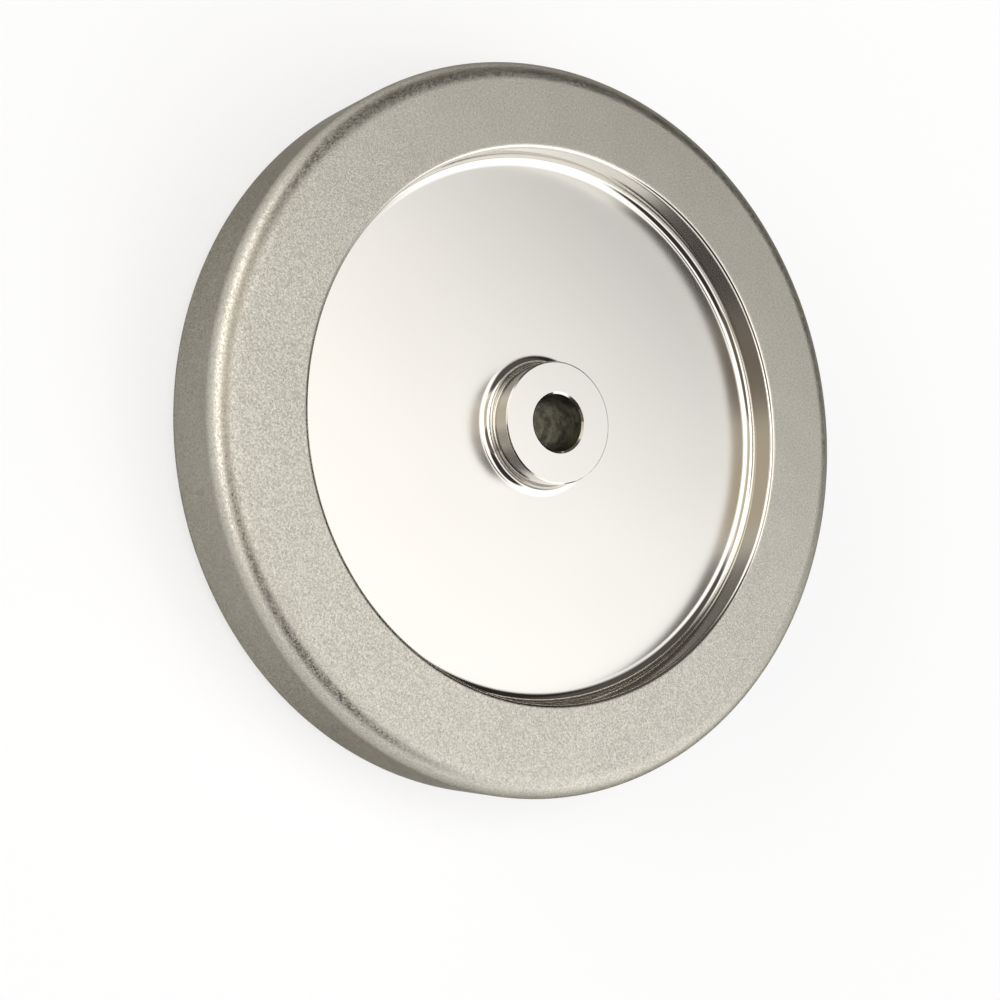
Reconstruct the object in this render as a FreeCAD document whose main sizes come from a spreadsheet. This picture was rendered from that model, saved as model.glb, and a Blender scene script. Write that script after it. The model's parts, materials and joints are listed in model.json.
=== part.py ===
"""Grinding wheel for a bench grinder: one turned steel body with a plated grit rim.

The wheel is a disc with the same shape on both sides. A flat side band of grit runs from the
rim's rounded corners in to a round recess, and a short hub with the bore stands up in the
middle of each recess. Turned about +Z, it lies on its back side band, with the origin on
the bore's axis where it meets the surface below. All sizes are in millimetres.
"""
import FreeCAD, Part
import math
import os

import Sketcher

NODE = "grinding_wheel"
PARTS_FOLDER = "parts"

# Driving sizes: alias, value, and what it measures.
SIZES = (
    ("wheel_diameter", 203.2, "outer diameter over the grit"),
    ("wheel_width", 31.75, "width from side band to side band"),
    ("rim_corner_radius", 6.35, "rounding between the rim and each side band"),
    ("side_band_width", 25.4, "side band, from the rim in to the wall of the recess"),
    ("recess_depth", 10.3, "recess floor below the side band"),
    ("recess_fillet_radius", 3.0, "round at the foot of the recess wall and of the hub"),
    ("lip_chamfer", 0.8, "broken edge where the recess meets the side band"),
    ("hub_diameter", 34.0, "outer diameter of the hub"),
    ("hub_setback", 0.7, "hub face below the side band"),
    ("hub_chamfer", 0.4, "broken outer edge of the hub face"),
    ("bore_diameter", 15.875, "bore for the grinder's arbor"),
    ("bore_chamfer", 0.6, "chamfer at each mouth of the bore"),
)

EDGE_TOLERANCE = 1e-4

# A quarter turn is drawn as two arcs of this angle, in radians.
HALF_ROUND = math.pi / 4


def make_sheet(doc):
    """Return the spreadsheet that holds the driving sizes."""
    sheet = doc.addObject("Spreadsheet::Sheet", "Sizes")
    for row, (alias, value, meaning) in enumerate(SIZES, start=1):
        sheet.set(f"A{row}", str(value))
        sheet.setAlias(f"A{row}", alias)
        sheet.set(f"B{row}", meaning)
    doc.recompute()
    return sheet


def origin_plane(body, role):
    """Return one of the body's own origin planes by its role."""
    return next(plane for plane in body.Origin.OriginFeatures if plane.Role == role)


def add_sketch(body, name, role):
    """Return an empty sketch on one of the body's origin planes."""
    sketch = body.newObject("Sketcher::SketchObject", name)
    sketch.AttachmentSupport = [(origin_plane(body, role), "")]
    sketch.MapMode = "FlatFace"
    return sketch


def add_section(sketch, corners):
    """Draw a closed section of level and upright lines, leaving out the rounded corners.

    Args:
        sketch: the sketch to draw in.
        corners: (x, y, radius) for each corner in order; a radius of 0 leaves it sharp.
            Every rounded corner turns to the left.
    """
    count = len(corners)
    for index, (x, y, radius) in enumerate(corners):
        x_next, y_next, next_radius = corners[(index + 1) % count]
        heading = FreeCAD.Vector(x_next - x, y_next - y, 0).normalize()
        start = FreeCAD.Vector(x, y, 0) + heading * radius
        end = FreeCAD.Vector(x_next, y_next, 0) - heading * next_radius
        sketch.addGeometry(Part.LineSegment(start, end), False)
        direction = "Vertical" if x == x_next else "Horizontal"
        sketch.addConstraint(Sketcher.Constraint(direction, index))
    for index in range(count):
        following = (index + 1) % count
        if corners[following][2] == 0:
            sketch.addConstraint(Sketcher.Constraint("Coincident", index, 2, following, 1))


def add_round(sketch, incoming, name, expression):
    """Round the corner between two of the section's lines with two equal arcs, end to end.

    Args:
        sketch: the sketch that holds the section.
        incoming: the number of the line that ends at the round; the next line leaves it.
        name: the name of the round's radius.
        expression: the spreadsheet expression for that radius.
    """
    start = sketch.Geometry[incoming].EndPoint
    end = sketch.Geometry[incoming + 1].StartPoint
    heading = (start - sketch.Geometry[incoming].StartPoint).normalize()
    radius = (end - start).dot(heading)
    to_left = FreeCAD.Vector(-heading.y, heading.x, 0)
    circle = Part.Circle(start + to_left * radius, FreeCAD.Vector(0, 0, 1), radius)
    begin = math.atan2(-to_left.y, -to_left.x)
    first = sketch.addGeometry(Part.ArcOfCircle(circle, begin, begin + HALF_ROUND), False)
    middle = begin + HALF_ROUND
    second = sketch.addGeometry(Part.ArcOfCircle(circle, middle, middle + HALF_ROUND), False)
    sketch.addConstraint(Sketcher.Constraint("Coincident", first, 3, second, 3))
    sketch.addConstraint(Sketcher.Constraint("Coincident", first, 2, second, 1))
    sketch.addConstraint(Sketcher.Constraint("Tangent", incoming, 2, first, 1))
    sketch.addConstraint(Sketcher.Constraint("Tangent", second, 2, incoming + 1, 1))
    sketch.addConstraint(Sketcher.Constraint("Angle", first, HALF_ROUND))
    bind(sketch, Sketcher.Constraint("Radius", first, radius), name, expression)


def bind(sketch, constraint, name, expression):
    """Add a dimension to the sketch and tie it to the spreadsheet.

    Args:
        sketch: the sketch that holds the outline.
        constraint: the dimension, with its first value.
        name: the dimension's name.
        expression: the spreadsheet expression that drives it.
    """
    number = sketch.addConstraint(constraint)
    sketch.renameConstraint(number, name)
    sketch.setExpression(f"Constraints.{name}", expression)


def from_origin(direction, line, value):
    """Return the dimension from the sketch's origin to the point where a line starts.

    Args:
        direction: "DistanceX" or "DistanceY".
        line: the line's number.
        value: the distance, in millimetres.
    """
    return Sketcher.Constraint(direction, -1, 1, line, 1, value)


def add_blank(body, sheet):
    """Turn the solid disc with its rounded rim; the XY plane is its middle plane."""
    radius = sheet.wheel_diameter / 2
    half_width = sheet.wheel_width / 2
    corner = sheet.rim_corner_radius
    sketch = add_sketch(body, "blank_section", "XZ_Plane")
    add_section(sketch, [(0, -half_width, 0), (radius, -half_width, corner),
                         (radius, half_width, corner), (0, half_width, 0)])
    sketch.addConstraint(Sketcher.Constraint("PointOnObject", 0, 1, -2))
    bind(sketch, from_origin("DistanceX", 1, radius), "rim", "Sizes.wheel_diameter / 2")
    bind(sketch, from_origin("DistanceY", 2, half_width), "front", "Sizes.wheel_width / 2")
    full_width = Sketcher.Constraint("DistanceY", 3, 2, 3, 1, sheet.wheel_width)
    bind(sketch, full_width, "width", "Sizes.wheel_width")
    add_round(sketch, 0, "back_corner", "Sizes.rim_corner_radius")
    add_round(sketch, 1, "front_corner", "Sizes.rim_corner_radius")
    blank = body.newObject("PartDesign::Revolution", "blank")
    blank.Profile = sketch
    blank.ReferenceAxis = (sketch, ["V_Axis"])
    blank.Angle = 360
    return blank


def add_front_recess(body, sheet):
    """Turn the front recess and face the hub back, as one cut."""
    half_width = sheet.wheel_width / 2
    lip = sheet.wheel_diameter / 2 - sheet.side_band_width
    hub = sheet.hub_diameter / 2
    floor = half_width - sheet.recess_depth
    hub_face = half_width - sheet.hub_setback
    foot = sheet.recess_fillet_radius
    sketch = add_sketch(body, "recess_section", "XZ_Plane")
    add_section(sketch, [(0, half_width, 0), (0, hub_face, 0), (hub, hub_face, 0),
                         (hub, floor, foot), (lip, floor, foot), (lip, half_width, 0)])
    sketch.addConstraint(Sketcher.Constraint("PointOnObject", 0, 1, -2))
    bind(sketch, from_origin("DistanceY", 0, half_width), "side_band", "Sizes.wheel_width / 2")
    bind(sketch, from_origin("DistanceX", 2, hub), "hub", "Sizes.hub_diameter / 2")
    bind(sketch, from_origin("DistanceY", 2, hub_face), "hub_face",
         "Sizes.wheel_width / 2 - Sizes.hub_setback")
    bind(sketch, from_origin("DistanceX", 4, lip), "lip",
         "Sizes.wheel_diameter / 2 - Sizes.side_band_width")
    bind(sketch, from_origin("DistanceY", 3, floor), "floor",
         "Sizes.wheel_width / 2 - Sizes.recess_depth")
    add_round(sketch, 2, "hub_foot", "Sizes.recess_fillet_radius")
    add_round(sketch, 3, "wall_foot", "Sizes.recess_fillet_radius")
    recess = body.newObject("PartDesign::Groove", "front_recess")
    recess.Profile = sketch
    recess.ReferenceAxis = (sketch, ["V_Axis"])
    recess.Angle = 360
    return recess


def add_back_recess(body, front_recess):
    """Repeat the recess on the back, mirrored in the wheel's middle plane."""
    mirrored = body.newObject("PartDesign::Mirrored", "back_recess")
    mirrored.Originals = [front_recess]
    mirrored.MirrorPlane = (origin_plane(body, "XY_Plane"), [""])
    body.Tip = mirrored
    return mirrored


def add_bore(body, sheet):
    """Cut the bore straight through both hubs."""
    sketch = add_sketch(body, "bore_circle", "XY_Plane")
    centre = FreeCAD.Vector(0, 0, 0)
    axis = FreeCAD.Vector(0, 0, 1)
    sketch.addGeometry(Part.Circle(centre, axis, sheet.bore_diameter / 2), False)
    sketch.addConstraint(Sketcher.Constraint("Coincident", 0, 3, -1, 1))
    diameter = Sketcher.Constraint("Diameter", 0, sheet.bore_diameter)
    bind(sketch, diameter, "bore", "Sizes.bore_diameter")
    bore = body.newObject("PartDesign::Pocket", "bore")
    bore.Profile = sketch
    bore.Type = "ThroughAll"
    bore.SideType = "Symmetric"
    return bore


def circle_edges(feature, radius, height):
    """Return the names of a feature's full circles of one radius, above and below its middle.

    Args:
        feature: the feature whose shape is searched.
        radius: the circles' radius.
        height: their distance from the middle plane, on either side.
    """
    names = []
    for number, edge in enumerate(feature.Shape.Edges, start=1):
        if not isinstance(edge.Curve, Part.Circle):
            continue
        off_radius = abs(edge.Curve.Radius - radius)
        off_height = abs(abs(edge.Curve.Center.z) - height)
        if off_radius < EDGE_TOLERANCE and off_height < EDGE_TOLERANCE:
            names.append(f"Edge{number}")
    return names


def break_edges(doc, body, sheet):
    """Chamfer both lips, both hub faces and both mouths of the bore."""
    half_width = sheet.wheel_width / 2
    lip = sheet.wheel_diameter / 2 - sheet.side_band_width
    hub = sheet.hub_diameter / 2
    bore = sheet.bore_diameter / 2
    hub_face = half_width - sheet.hub_setback
    chamfers = (
        ("lip_chamfers", "Sizes.lip_chamfer", lip, half_width),
        ("hub_chamfers", "Sizes.hub_chamfer", hub, hub_face),
        ("bore_chamfers", "Sizes.bore_chamfer", bore, hub_face),
    )
    for name, expression, radius, height in chamfers:
        edges = circle_edges(body.Tip, radius, height)
        if len(edges) != 2:
            raise RuntimeError(f"{name}: found {len(edges)} edges")
        chamfer = body.newObject("PartDesign::Chamfer", name)
        chamfer.Base = (chamfer.BaseFeature, edges)
        chamfer.setExpression("Size", expression)
        doc.recompute()


def make_wheel(doc, sheet):
    """Build the wheel as one body and stand it on its back side band."""
    body = doc.addObject("PartDesign::Body", NODE)
    body.Label = NODE
    add_blank(body, sheet)
    doc.recompute()
    front_recess = add_front_recess(body, sheet)
    doc.recompute()
    add_back_recess(body, front_recess)
    doc.recompute()
    add_bore(body, sheet)
    doc.recompute()
    break_edges(doc, body, sheet)
    body.setExpression("Placement.Base.z", "Sizes.wheel_width / 2")
    doc.recompute()
    return body


def check(doc, body):
    """Stop if a feature failed, a cut removed nothing, or the solid isn't sound."""
    for item in doc.Objects:
        if "Invalid" in item.State or "Error" in item.State:
            raise RuntimeError(f"{item.Name} failed: {item.State}")
    cuts = [item for item in body.Group if not item.isDerivedFrom("Part::Part2DObject")]
    for before, after in zip(cuts, cuts[1:]):
        if abs(before.Shape.Volume - after.Shape.Volume) < EDGE_TOLERANCE:
            raise RuntimeError(f"{after.Name} changed nothing")
    if body.Shape.isNull() or not body.Shape.isValid() or len(body.Shape.Solids) != 1:
        raise RuntimeError("the wheel is not one valid solid")


def main():
    """Build the document, check it, and write the wheel's STEP file."""
    doc = FreeCAD.newDocument("GrindingWheel")
    sheet = make_sheet(doc)
    wheel = make_wheel(doc, sheet)
    check(doc, wheel)
    os.makedirs(PARTS_FOLDER, exist_ok=True)
    wheel.Shape.exportStep(os.path.join(PARTS_FOLDER, f"{NODE}.step"))
    box = wheel.Shape.BoundBox
    print(f"{NODE}: {wheel.Shape.Volume:.0f} mm3, z {box.ZMin:.3f} to {box.ZMax:.3f} mm")


main()
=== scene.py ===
"""Looks of a plated grinding wheel for a bench grinder.

The wheel is one turned steel body. Its half section is drawn as straight runs joined by rounds, a
Geometry Nodes tree sweeps the section round the axis, and every vertex gets the exact normal of the
section. Three finishes dress it: polished nickel on the recesses and hubs, grit bonded in nickel on
the side bands, corners and rim, and bare steel in the bore. Lengths are in metres.
"""

import json
import logging
import math
from dataclasses import dataclass, field
from enum import Enum

import bpy
import numpy as np
from mathutils import Matrix, Vector


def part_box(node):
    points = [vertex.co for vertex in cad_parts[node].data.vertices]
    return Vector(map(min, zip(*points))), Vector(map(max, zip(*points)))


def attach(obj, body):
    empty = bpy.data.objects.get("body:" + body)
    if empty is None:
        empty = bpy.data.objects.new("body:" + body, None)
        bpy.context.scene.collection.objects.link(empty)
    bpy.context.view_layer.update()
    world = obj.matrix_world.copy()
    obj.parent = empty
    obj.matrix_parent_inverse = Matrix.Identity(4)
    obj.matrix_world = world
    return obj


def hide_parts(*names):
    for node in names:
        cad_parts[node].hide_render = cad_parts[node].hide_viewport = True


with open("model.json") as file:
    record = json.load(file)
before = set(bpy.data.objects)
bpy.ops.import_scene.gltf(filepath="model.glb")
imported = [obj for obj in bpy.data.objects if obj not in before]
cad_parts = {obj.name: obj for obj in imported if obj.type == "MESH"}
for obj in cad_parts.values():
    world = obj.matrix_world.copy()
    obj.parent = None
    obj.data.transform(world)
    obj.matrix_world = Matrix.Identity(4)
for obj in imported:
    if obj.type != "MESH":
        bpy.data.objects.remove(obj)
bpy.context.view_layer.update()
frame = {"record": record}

LOG = logging.getLogger("grinding_wheel")
MM = 0.001
WHEEL_NODE = "grinding_wheel"
HALF_TURN = 180.0
ALL_ROUND = 9999.0  # a card's half width that leaves it no end in azimuth
Colour = tuple[float, float, float]
Span = tuple[float, float]
WHITE: Colour = (1.0, 1.0, 1.0)


class Zone(Enum):
    """The parts of the wheel's surface that are finished alike."""

    BORE = "bare_steel"
    NICKEL = "polished_nickel"
    GRIT = "grit_in_nickel"


class Graph:
    """A node tree under construction, with short ways to add and join its nodes."""

    def __init__(self, tree: bpy.types.NodeTree) -> None:
        """Empty the tree.

        Args:
            tree: the tree to build in.
        """
        tree.nodes.clear()
        self.tree = tree

    def add(self, kind: str, inputs: dict | None = None, **settings: object) -> bpy.types.Node:
        """Add a node and fill its inputs.

        Args:
            kind: the node's Blender type name.
            inputs: for each input, by name or number, a socket to link from or a value to set.
            **settings: properties of the node itself.

        Returns:
            The new node.
        """
        node = self.tree.nodes.new(kind)
        for name, value in settings.items():
            setattr(node, name, value)
        for key, value in (inputs or {}).items():
            self.feed(node.inputs[key], value)
        return node

    def feed(self, socket: bpy.types.NodeSocket, value: object) -> None:
        """Link a socket to an input, or set the input's own value.

        Args:
            socket: the input.
            value: a socket to link from, or a plain value.
        """
        if isinstance(value, bpy.types.NodeSocket):
            self.tree.links.new(value, socket)
        else:
            socket.default_value = value

    def math(self, operation: str, *values: object, clamp: bool = False) -> bpy.types.NodeSocket:
        """Add a Math node and return its result.

        Args:
            operation: the node's operation.
            *values: its inputs in order, sockets or numbers.
            clamp: whether the result is held between 0 and 1.

        Returns:
            The output socket.
        """
        inputs = dict(enumerate(values))
        return self.add("ShaderNodeMath", inputs, operation=operation, use_clamp=clamp).outputs[0]

    def blend(self, amount: object, low: object, high: object) -> bpy.types.NodeSocket:
        """Mix two colours.

        Args:
            amount: how much of the second colour shows, from 0 to 1.
            low: the first colour.
            high: the second colour.

        Returns:
            The mixed colour's socket.
        """
        node = self.add("ShaderNodeMix", data_type="RGBA")
        self.feed(node.inputs["Factor"], amount)
        self.feed(node.inputs["A"], low)
        self.feed(node.inputs["B"], high)
        return node.outputs["Result"]

    def ramp(self, value: bpy.types.NodeSocket, span: Span, results: Span = (0.0, 1.0),
             smooth: bool = True) -> bpy.types.NodeSocket:
        """Map a value from one span to another, held at both ends.

        Args:
            value: the value to map.
            span: where the change starts and where it ends.
            results: the result before the change and the result after it.
            smooth: whether the change eases in and out.

        Returns:
            The mapped value's socket.
        """
        kind = "SMOOTHSTEP" if smooth else "LINEAR"
        inputs = {"Value": value, "From Min": span[0], "From Max": span[1],
                  "To Min": results[0], "To Max": results[1]}
        return self.add("ShaderNodeMapRange", inputs, interpolation_type=kind).outputs["Result"]


def rgba(colour: Colour) -> tuple[float, float, float, float]:
    """Return a colour with full alpha."""
    return (*colour, 1.0)


@dataclass(frozen=True)
class PolishedNickel:
    """Bright nickel plating over turned steel: hazy on the flats, near a mirror on the walls.

    A surface counts as a wall where the upright part of its normal is at the low end of
    wall_to_flat or below it, and as a flat at the high end.
    """

    colour: Colour = (0.64, 0.617, 0.573)
    flat_roughness: Span = (0.245, 0.26)
    wall_roughness: float = 0.09
    wall_to_flat: Span = (0.97, 0.999)
    haze_size: float = 26 * MM
    haze_span: Span = (0.2, 0.8)

    def build(self) -> bpy.types.Material:
        """Return the material."""
        material = bpy.data.materials.new(Zone.NICKEL.value)
        material.use_nodes = True
        graph = Graph(material.node_tree)
        place = graph.add("ShaderNodeTexCoord")
        haze = graph.add("ShaderNodeTexNoise", {
            "Vector": place.outputs["Object"], "Scale": 1 / self.haze_size, "Detail": 0.0})
        hazy = graph.ramp(haze.outputs["Fac"], self.haze_span, self.flat_roughness, smooth=False)
        upright = graph.add("ShaderNodeSeparateXYZ", {"Vector": place.outputs["Normal"]})
        flatness = graph.ramp(graph.math("ABSOLUTE", upright.outputs["Z"]), self.wall_to_flat)
        wall = graph.math("SUBTRACT", 1.0, flatness)
        roughness = graph.math("MULTIPLY_ADD", graph.math("SUBTRACT", self.wall_roughness, hazy),
                               wall, hazy)
        shader = graph.add("ShaderNodeBsdfPrincipled", {
            "Base Color": rgba(self.colour), "Metallic": 1.0, "Roughness": roughness})
        graph.add("ShaderNodeOutputMaterial", {"Surface": shader.outputs[0]})
        return material


@dataclass(frozen=True)
class GritInNickel:
    """Abrasive grains held in nickel: a fine, even, satin surface with a faint sparkle.

    Painted shade: the grit's colour is darkened on the rim by the rim shade factor, which stands in
    for the darker reflections there, and the painted shade has gone where the upright part of the
    normal reaches rim_reach. Each crystal falls away from its middle by crystal_fall times the height
    of a grain.
    """

    light: Colour = (0.555, 0.53, 0.465)
    dark: Colour = (0.385, 0.365, 0.315)
    edge_tint: Colour = (0.22, 0.21, 0.195)
    # painted shade: how far the grit colour is darkened on the rim
    painted_rim_shade: float = 0.88
    rim_reach: float = 0.35
    grain_size: float = 0.52 * MM
    grain_height: float = 0.019 * MM
    grain_span: Span = (0.32, 0.68)
    crystal_size: float = 0.42 * MM
    crystal_fall: float = 0.5
    roughness: float = 0.42
    roughness_spread: float = 0.14
    cloud_size: float = 14 * MM
    cloud_span: Span = (0.3, 0.7)
    cloud_depth: float = 0.05

    def build(self) -> bpy.types.Material:
        """Return the material."""
        material = bpy.data.materials.new(Zone.GRIT.value)
        material.use_nodes = True
        graph = Graph(material.node_tree)
        coordinates = graph.add("ShaderNodeTexCoord").outputs
        place = coordinates["Object"]
        grain = graph.add("ShaderNodeTexNoise", {
            "Vector": place, "Scale": 1 / self.grain_size, "Detail": 2.0, "Roughness": 0.6})
        crystals = graph.add("ShaderNodeTexVoronoi", {
            "Vector": place, "Scale": 1 / self.crystal_size})
        cloud = graph.add("ShaderNodeTexNoise", {
            "Vector": place, "Scale": 1 / self.cloud_size, "Detail": 2.0})
        tint = graph.ramp(grain.outputs["Fac"], self.grain_span, smooth=False)
        drift = graph.ramp(cloud.outputs["Fac"], self.cloud_span,
                           (-self.cloud_depth, self.cloud_depth))
        amount = graph.math("ADD", tint, drift, clamp=True)
        mixed = graph.blend(amount, rgba(self.dark), rgba(self.light))
        upright = graph.add("ShaderNodeSeparateXYZ", {"Vector": coordinates["Normal"]})
        # painted shade: the grit colour is darkened on the rim, where the normal lies near level, in
        # place of darker reflections
        shade = graph.ramp(graph.math("ABSOLUTE", upright.outputs["Z"]), (0.0, self.rim_reach),
                           (self.painted_rim_shade, 1.0))
        colour = graph.add("ShaderNodeVectorMath", {0: mixed, "Scale": shade},
                           operation="SCALE").outputs["Vector"]
        each = graph.add("ShaderNodeSeparateColor", {"Color": crystals.outputs["Color"]})
        rough = graph.ramp(each.outputs["Red"], (0.0, 1.0),
                           (self.roughness - self.roughness_spread,
                            self.roughness + self.roughness_spread), smooth=False)
        height = graph.math("MULTIPLY_ADD", crystals.outputs["Distance"], -self.crystal_fall,
                            grain.outputs["Fac"])
        bump = graph.add("ShaderNodeBump", {
            "Height": height, "Distance": self.grain_height, "Strength": 1.0})
        shader = graph.add("ShaderNodeBsdfPrincipled", {
            "Base Color": colour, "Metallic": 1.0, "Roughness": rough,
            "Specular Tint": rgba(self.edge_tint), "Normal": bump.outputs["Normal"]})
        graph.add("ShaderNodeOutputMaterial", {"Surface": shader.outputs[0]})
        return material


@dataclass(frozen=True)
class BareSteel:
    """The bored steel, unplated: dull and dark, with the marks of the tool round the bore."""

    light: Colour = (0.27, 0.25, 0.175)
    dark: Colour = (0.065, 0.058, 0.038)
    stain_size: float = 4 * MM
    stain_span: Span = (0.35, 0.65)
    mark_pitch: float = 0.45 * MM
    mark_length: float = 5.625 * MM
    mark_height: float = 0.006 * MM
    roughness: float = 0.42

    def build(self) -> bpy.types.Material:
        """Return the material."""
        material = bpy.data.materials.new(Zone.BORE.value)
        material.use_nodes = True
        graph = Graph(material.node_tree)
        place = graph.add("ShaderNodeTexCoord").outputs["Object"]
        stain = graph.add("ShaderNodeTexNoise", {
            "Vector": place, "Scale": 1 / self.stain_size, "Detail": 5.0, "Roughness": 0.65})
        along = graph.add("ShaderNodeMapping", {
            "Vector": place, "Scale": (1 / self.mark_length, 1 / self.mark_length,
                                       1 / self.mark_pitch)})
        marks = graph.add("ShaderNodeTexNoise", {
            "Vector": along.outputs["Vector"], "Scale": 1.0, "Detail": 2.0})
        amount = graph.ramp(stain.outputs["Fac"], self.stain_span)
        colour = graph.blend(amount, rgba(self.dark), rgba(self.light))
        bump = graph.add("ShaderNodeBump", {
            "Height": marks.outputs["Fac"], "Distance": self.mark_height, "Strength": 1.0})
        shader = graph.add("ShaderNodeBsdfPrincipled", {
            "Base Color": colour, "Metallic": 1.0, "Roughness": self.roughness,
            "Normal": bump.outputs["Normal"]})
        graph.add("ShaderNodeOutputMaterial", {"Surface": shader.outputs[0]})
        return material


@dataclass(frozen=True)
class Corner:
    """A corner of the turned section and the round that joins its two runs."""

    radius: float
    height: float
    rounding: float

    def mirrored(self, width: float) -> "Corner":
        """Return the same corner on the wheel's other side.

        Args:
            width: the wheel's width.

        Returns:
            The mirrored corner.
        """
        return Corner(self.radius, width - self.height, self.rounding)


@dataclass
class Section:
    """The closed half section of a turned body, with straight runs and tangent rounds.

    The corners run round the section with the solid on their left, seen with the radius to the
    right and the height up.
    """

    corners: list[Corner]
    widest_step: float = math.radians(6)
    fewest_steps: int = 3

    def points(self) -> tuple[np.ndarray, np.ndarray]:
        """Work out the outline's points and the outward normal at each.

        Returns:
            Two arrays of (radius, height) pairs: the points and their normals.
        """
        places = [np.array((corner.radius, corner.height)) for corner in self.corners]
        outline: list[np.ndarray] = []
        normals: list[np.ndarray] = []
        count = len(places)
        for index, corner in enumerate(self.corners):
            before = self._direction(places[index - 1], places[index])
            after = self._direction(places[index], places[(index + 1) % count])
            turn = math.atan2(before[0] * after[1] - before[1] * after[0], before @ after)
            reach = corner.rounding * math.tan(abs(turn) / 2)
            side = math.copysign(1.0, turn)
            start = places[index] - before * reach
            centre = start + side * corner.rounding * np.array((-before[1], before[0]))
            steps = max(self.fewest_steps, math.ceil(abs(turn) / self.widest_step))
            for step in range(steps + 1):
                angle = turn * step / steps
                heading = self._turned(before, angle)
                normal = np.array((heading[1], -heading[0]))
                outline.append(centre + side * corner.rounding * normal)
                normals.append(normal)
        return np.array(outline), np.array(normals)

    @staticmethod
    def _direction(start: np.ndarray, end: np.ndarray) -> np.ndarray:
        """Return the unit vector from one point to another."""
        return (end - start) / np.linalg.norm(end - start)

    @staticmethod
    def _turned(vector: np.ndarray, angle: float) -> np.ndarray:
        """Return a vector turned to the left by an angle."""
        cosine, sine = math.cos(angle), math.sin(angle)
        return np.array((cosine * vector[0] - sine * vector[1],
                         sine * vector[0] + cosine * vector[1]))


@dataclass
class TurnedBody:
    """A Geometry Nodes tree that sweeps a closed section round the axis and sets its finishes."""

    NORMALS = "section_normal"

    path_radius: float
    steps_round: int
    bore_reach: float
    grit_start: float
    finishes: dict[Zone, bpy.types.Material]

    def tree(self) -> bpy.types.NodeTree:
        """Build the tree, with its sizes as named inputs."""
        tree = bpy.data.node_groups.new("turned_body", "GeometryNodeTree")
        tree.is_modifier = True
        interface = tree.interface
        interface.new_socket(name="Section", in_out="INPUT", socket_type="NodeSocketGeometry")
        interface.new_socket(name="Path Radius", in_out="INPUT", socket_type="NodeSocketFloat")
        interface.new_socket(name="Steps Round", in_out="INPUT", socket_type="NodeSocketInt")
        interface.new_socket(name="Bore Reach", in_out="INPUT", socket_type="NodeSocketFloat")
        interface.new_socket(name="Grit Start", in_out="INPUT", socket_type="NodeSocketFloat")
        interface.new_socket(name="Body", in_out="OUTPUT", socket_type="NodeSocketGeometry")
        graph = Graph(tree)
        given = graph.add("NodeGroupInput").outputs
        line = graph.add("GeometryNodeMeshToCurve", {"Mesh": given["Section"]})
        path = graph.add("GeometryNodeCurvePrimitiveCircle", {
            "Resolution": given["Steps Round"], "Radius": given["Path Radius"]})
        swept = graph.add("GeometryNodeCurveToMesh", {
            "Curve": path.outputs["Curve"], "Profile Curve": line.outputs["Curve"]})
        flat = graph.add("ShaderNodeVectorMath", {
            0: graph.add("GeometryNodeInputPosition").outputs[0], 1: (1.0, 1.0, 0.0)},
            operation="MULTIPLY")
        radius = graph.add("ShaderNodeVectorMath", {0: flat.outputs[0]}, operation="LENGTH")
        in_bore = graph.add("FunctionNodeCompare", {
            "A": radius.outputs["Value"], "B": given["Bore Reach"]}, operation="LESS_THAN")
        on_grit = graph.add("FunctionNodeCompare", {
            "A": radius.outputs["Value"], "B": given["Grit Start"]}, operation="GREATER_THAN")
        outward = graph.add("GeometryNodeFlipFaces", {"Mesh": swept.outputs["Mesh"]})
        body = graph.add("GeometryNodeRealizeInstances", {"Geometry": outward.outputs["Mesh"]})
        choices = ((Zone.NICKEL, True), (Zone.BORE, in_bore.outputs["Result"]),
                   (Zone.GRIT, on_grit.outputs["Result"]))
        for zone, selection in choices:
            body = graph.add("GeometryNodeSetMaterial", {
                "Geometry": body.outputs["Geometry"], "Selection": selection,
                "Material": self.finishes[zone]})
        graph.add("NodeGroupOutput", {"Body": body.outputs["Geometry"]})
        return tree

    def sweep(self, section: bpy.types.Mesh, name: str) -> bpy.types.Object:
        """Run the tree on a section and keep the result as a plain mesh.

        Args:
            section: the section's line, with its normals in an attribute.
            name: the finished piece's name.

        Returns:
            The finished piece.
        """
        source = bpy.data.objects.new("section_source", section)
        bpy.context.scene.collection.objects.link(source)
        modifier = source.modifiers.new("turn", "NODES")
        modifier.node_group = self.tree()
        values = {"Path Radius": self.path_radius, "Steps Round": self.steps_round,
                  "Bore Reach": self.bore_reach, "Grit Start": self.grit_start}
        for item in modifier.node_group.interface.items_tree:
            if item.name in values:
                modifier[item.identifier] = values[item.name]
        depsgraph = bpy.context.evaluated_depsgraph_get()
        mesh = bpy.data.meshes.new_from_object(source.evaluated_get(depsgraph))
        bpy.data.objects.remove(source)
        mesh.name = name
        self._smooth(mesh)
        piece = bpy.data.objects.new(name, mesh)
        bpy.context.scene.collection.objects.link(piece)
        return piece

    def _smooth(self, mesh: bpy.types.Mesh) -> None:
        """Give every vertex the section's own normal, turned to where the vertex is.

        Args:
            mesh: the swept mesh, which still carries the section's normals.
        """
        count = len(mesh.vertices)
        places = np.empty(count * 3, np.float32)
        mesh.vertices.foreach_get("co", places)
        places = places.reshape(-1, 3)
        carried = np.empty(count * 3, np.float32)
        mesh.attributes[self.NORMALS].data.foreach_get("vector", carried)
        carried = carried.reshape(-1, 3)
        outward = places[:, :2] / np.linalg.norm(places[:, :2], axis=1, keepdims=True)
        normals = np.column_stack((outward * carried[:, :1], carried[:, 1]))
        mesh.attributes.remove(mesh.attributes[self.NORMALS])
        mesh.shade_smooth()
        mesh.normals_split_custom_set_from_vertices(normals)


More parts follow.
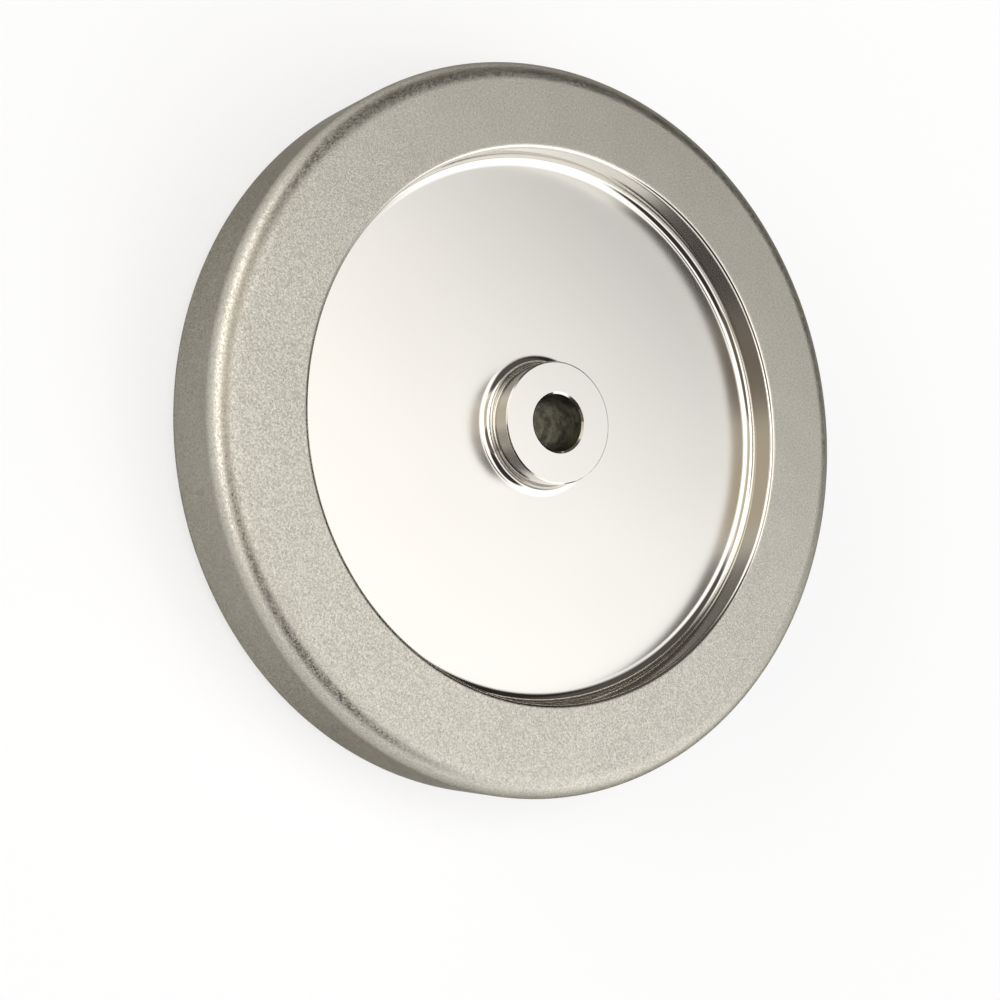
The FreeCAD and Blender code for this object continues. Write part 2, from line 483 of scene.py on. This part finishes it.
@dataclass
class GrindingWheel:
    """The wheel: its sizes, the mesh that its section sweeps, and its three finishes."""

    outer_radius: float
    width: float
    bore_radius: float
    corner_radius: float = 6.35 * MM
    side_band_width: float = 25.4 * MM
    lip_chamfer: float = 0.8 * MM
    lip_blend: float = 1.3 * MM
    recess_depth: float = 10.3 * MM
    foot_radius: float = 3.0 * MM
    hub_radius: float = 17.0 * MM
    hub_setback: float = 0.7 * MM
    hub_chamfer: float = 0.4 * MM
    bore_chamfer: float = 0.6 * MM
    broken_edge: float = 0.12 * MM
    steps_round: int = 384
    nickel: PolishedNickel = field(default_factory=PolishedNickel)
    grit: GritInNickel = field(default_factory=GritInNickel)
    steel: BareSteel = field(default_factory=BareSteel)

    @classmethod
    def from_frame(cls) -> "GrindingWheel":
        """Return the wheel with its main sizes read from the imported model."""
        low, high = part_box(WHEEL_NODE)
        bore = next(mount for mount in frame["record"]["mounts"] if mount["name"] == "bore")
        return cls(outer_radius=high.x, width=high.z - low.z,
                   bore_radius=bore["dims"]["r_mm"] * MM)

    @property
    def lip_radius(self) -> float:
        """The radius of the recess wall."""
        return self.outer_radius - self.side_band_width

    @property
    def floor_height(self) -> float:
        """The height of the front recess's floor."""
        return self.width - self.recess_depth

    @property
    def hub_height(self) -> float:
        """The height of the front hub's face."""
        return self.width - self.hub_setback

    def front_corners(self) -> list[Corner]:
        """Return the front half of the section, from the rim in to the bore."""
        edge = self.broken_edge
        lip, hub, bore = self.lip_radius, self.hub_radius, self.bore_radius
        floor, hub_face, face = self.floor_height, self.hub_height, self.width
        return [
            Corner(self.outer_radius, face, self.corner_radius),
            Corner(lip + self.lip_chamfer, face, self.lip_blend),
            Corner(lip, face - self.lip_chamfer, self.lip_blend),
            Corner(lip, floor, self.foot_radius),
            Corner(hub, floor, self.foot_radius),
            Corner(hub, hub_face - self.hub_chamfer, edge),
            Corner(hub - self.hub_chamfer, hub_face, edge),
            Corner(bore + self.bore_chamfer, hub_face, edge),
            Corner(bore, hub_face - self.bore_chamfer, edge),
        ]

    def section(self) -> Section:
        """Return the whole section: the front corners and their mirror on the back."""
        front = self.front_corners()
        back = [corner.mirrored(self.width) for corner in reversed(front)]
        return Section(front + back)

    def section_mesh(self) -> bpy.types.Mesh:
        """Draw the section as a closed line of edges that carries its normals.

        Returns:
            A mesh whose x is the radius beyond the outer radius and whose y is the depth.
        """
        points, normals = self.section().points()
        count = len(points)
        places = [(radius - self.outer_radius, -height, 0.0) for radius, height in points]
        mesh = bpy.data.meshes.new("wheel_section")
        mesh.from_pydata(places, [(index, (index + 1) % count) for index in range(count)], [])
        carried = mesh.attributes.new(TurnedBody.NORMALS, "FLOAT_VECTOR", "POINT")
        vectors = np.column_stack((normals, np.zeros(count)))
        carried.data.foreach_set("vector", vectors.ravel())
        return mesh

    def build(self) -> bpy.types.Object:
        """Sweep the section and dress the result.

        Returns:
            The finished wheel, a plain mesh at the origin.
        """
        finishes = {
            Zone.BORE: self.steel.build(),
            Zone.NICKEL: self.nickel.build(),
            Zone.GRIT: self.grit.build(),
        }
        turned = TurnedBody(self.outer_radius, self.steps_round,
                            bore_reach=self.bore_radius + self.broken_edge / 2,
                            grit_start=self.lip_radius + self.lip_chamfer,
                            finishes=finishes)
        wheel = turned.sweep(self.section_mesh(), "plated_wheel")
        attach(wheel, "root")
        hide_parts(WHEEL_NODE)
        LOG.info("%s: %d faces", wheel.name, len(wheel.data.polygons))
        return wheel


class CardShape(Enum):
    """A card's outline. Its value is the power that a direction's offsets are raised to."""

    OVAL = 2
    OBLONG = 4


@dataclass(frozen=True)
class Card:
    """A soft-edged card that stands far off in the studio and shows in polished metal.

    Angles are in degrees. Azimuth runs round from the camera's side towards +X, and elevation up
    from the floor.
    """

    azimuth: float
    elevation: float
    half_width: float
    half_height: float
    colour: Colour
    softness: float = 0.3
    shape: CardShape = CardShape.OVAL

    def mask(self, graph: Graph, azimuth: bpy.types.NodeSocket,
             elevation: bpy.types.NodeSocket) -> bpy.types.NodeSocket:
        """Return how much of the card shows in a direction.

        Args:
            graph: the sky's node tree.
            azimuth: the direction's azimuth in degrees.
            elevation: the direction's elevation in degrees.

        Returns:
            A socket that is 1 on the card and 0 off it.
        """
        aside = graph.math("WRAP", graph.math("SUBTRACT", azimuth, self.azimuth),
                           HALF_TURN, -HALF_TURN)
        above = graph.math("SUBTRACT", elevation, self.elevation)
        power = self.shape.value
        reach = graph.math("ADD", self._share(graph, aside, self.half_width),
                           self._share(graph, above, self.half_height))
        return graph.ramp(reach, ((1 + self.softness) ** power, (1 - self.softness) ** power))

    def _share(self, graph: Graph, offset: bpy.types.NodeSocket,
               half: float) -> bpy.types.NodeSocket:
        """Return an offset as a share of the card's half size, raised to the shape's power."""
        share = graph.math("MULTIPLY", offset, 1 / half)
        share = graph.math("MULTIPLY", share, share)
        if self.shape is CardShape.OBLONG:
            share = graph.math("MULTIPLY", share, share)
        return share


@dataclass(frozen=True)
class Studio:
    """A pale floor under a bright sky of soft cards, each laid over the ones before it.

    The panel is the sky's colour where there is no card. The camera and the metal see white_share
    of the floor as plain white, and the rest keeps the wheel's shadow.
    """

    panel: Colour = (1.40, 1.41, 1.42)
    floor_colour: Colour = (0.98, 0.98, 0.985)
    floor_half_size: float = 4.0
    white_share: float = 0.6
    cards: tuple[Card, ...] = (
        Card(0, 90, ALL_ROUND, 26, (1.95, 1.93, 1.91), softness=0.3),
        Card(140, 32, 46, 36, (1.75, 1.77, 1.80), softness=0.7),
        Card(-142, 20, 60, 34, (0.035, 0.030, 0.024), softness=0.27),
        Card(-37, 28, 26, 31, (0.82, 0.73, 0.58), softness=0.2, shape=CardShape.OBLONG),
        Card(-103, 22, 36, 36, (0.12, 0.11, 0.10), softness=0.15, shape=CardShape.OBLONG),
        Card(8, 34, 20, 25, (0.20, 0.155, 0.12), softness=0.12, shape=CardShape.OBLONG),
        Card(59, 42, 32, 21, (0.05, 0.043, 0.040), softness=0.15, shape=CardShape.OBLONG),
        Card(-28, 7, 42, 19, (3.20, 3.18, 3.15), softness=0.5),
        Card(126, 77, 26, 10, (0.14, 0.12, 0.10), softness=0.4),
    )

    def build(self) -> None:
        """Make the sky and the floor."""
        self._build_sky()
        self._build_floor()

    def _build_sky(self) -> None:
        """Paint the cards into the world, which lights the wheel and shows in its metal."""
        world = bpy.data.worlds.new("studio_sky")
        world.use_nodes = True
        bpy.context.scene.world = world
        graph = Graph(world.node_tree)
        direction = graph.add("ShaderNodeTexCoord").outputs["Generated"]
        part = graph.add("ShaderNodeSeparateXYZ", {"Vector": direction}).outputs
        towards_camera = graph.math("MULTIPLY", part["Y"], -1.0)
        turn = graph.math("ARCTAN2", part["X"], towards_camera)
        rise = graph.math("ARCSINE", part["Z"])
        azimuth, elevation = (graph.math("DEGREES", angle) for angle in (turn, rise))
        colour: object = rgba(self.panel)
        for card in self.cards:
            colour = graph.blend(card.mask(graph, azimuth, elevation), colour, rgba(card.colour))
        light = graph.add("ShaderNodeBackground", {"Color": colour, "Strength": 1.0})
        graph.add("ShaderNodeOutputWorld", {"Surface": light.outputs[0]})

    def _build_floor(self) -> None:
        """Lay the floor that the wheel rests on."""
        half = self.floor_half_size
        mesh = bpy.data.meshes.new("floor")
        mesh.from_pydata([(-half, -half, 0), (half, -half, 0), (half, half, 0), (-half, half, 0)],
                         [], [(0, 1, 2, 3)])
        material = bpy.data.materials.new("pale_floor")
        material.use_nodes = True
        graph = Graph(material.node_tree)
        shader = graph.add("ShaderNodeBsdfDiffuse", {"Color": rgba(self.floor_colour)})
        white = graph.add("ShaderNodeEmission", {"Color": rgba(WHITE), "Strength": 1.0})
        seen = graph.add("ShaderNodeLightPath").outputs
        looked_at = graph.math("ADD", graph.math("ADD", seen["Is Camera Ray"], seen["Is Glossy Ray"]),
                               seen["Is Transmission Ray"], clamp=True)
        share = graph.math("MULTIPLY", looked_at, self.white_share)
        mixed = graph.add("ShaderNodeMixShader", {
            0: share, 1: shader.outputs[0], 2: white.outputs[0]})
        graph.add("ShaderNodeOutputMaterial", {"Surface": mixed.outputs[0]})
        mesh.materials.append(material)
        floor = bpy.data.objects.new("floor", mesh)
        bpy.context.scene.collection.objects.link(floor)


@dataclass(frozen=True)
class Viewpoint:
    """The camera: above the wheel on its -Y side, rolled so that the wheel seems to stand.

    The middle of the wheel's face lies wheel_right to the right of the camera's axis and
    wheel_below under it. The lens and the sensor are in millimetres, and shift_up is a share of
    the frame.
    """

    elevation: float = math.radians(56.80)
    roll: float = math.radians(79.51)
    distance: float = 485.2 * MM
    wheel_right: float = 16.5 * MM
    wheel_below: float = 0.6 * MM
    lens: float = 63.87
    sensor: float = 36.0
    shift_up: float = -0.08

    def build(self, target: Vector) -> bpy.types.Object:
        """Make the camera and set it on the scene.

        Args:
            target: the middle of the wheel's front face.

        Returns:
            The camera.
        """
        back = Vector((0, -math.cos(self.elevation), math.sin(self.elevation)))
        level = Vector((1, 0, 0))
        upright = back.cross(level)
        right = math.cos(self.roll) * level + math.sin(self.roll) * upright
        top = back.cross(right)
        place = target - self.wheel_right * right + self.wheel_below * top + self.distance * back
        data = bpy.data.cameras.new("camera")
        data.lens = self.lens
        data.sensor_width = self.sensor
        data.shift_y = self.shift_up
        camera = bpy.data.objects.new("camera", data)
        camera.matrix_world = (Matrix.Translation(place)
                               @ Matrix((right, top, back)).transposed().to_4x4())
        bpy.context.scene.collection.objects.link(camera)
        bpy.context.scene.camera = camera
        return camera


def main() -> None:
    """Build the wheel and the studio, and report each piece."""
    logging.basicConfig(level=logging.INFO, format="%(name)s: %(message)s")
    wheel = GrindingWheel.from_frame()
    wheel.build()
    Studio().build()
    Viewpoint().build(Vector((0, 0, wheel.width)))
    bpy.context.scene.view_settings.view_transform = "Standard"


if __name__ == "__main__":
    main()
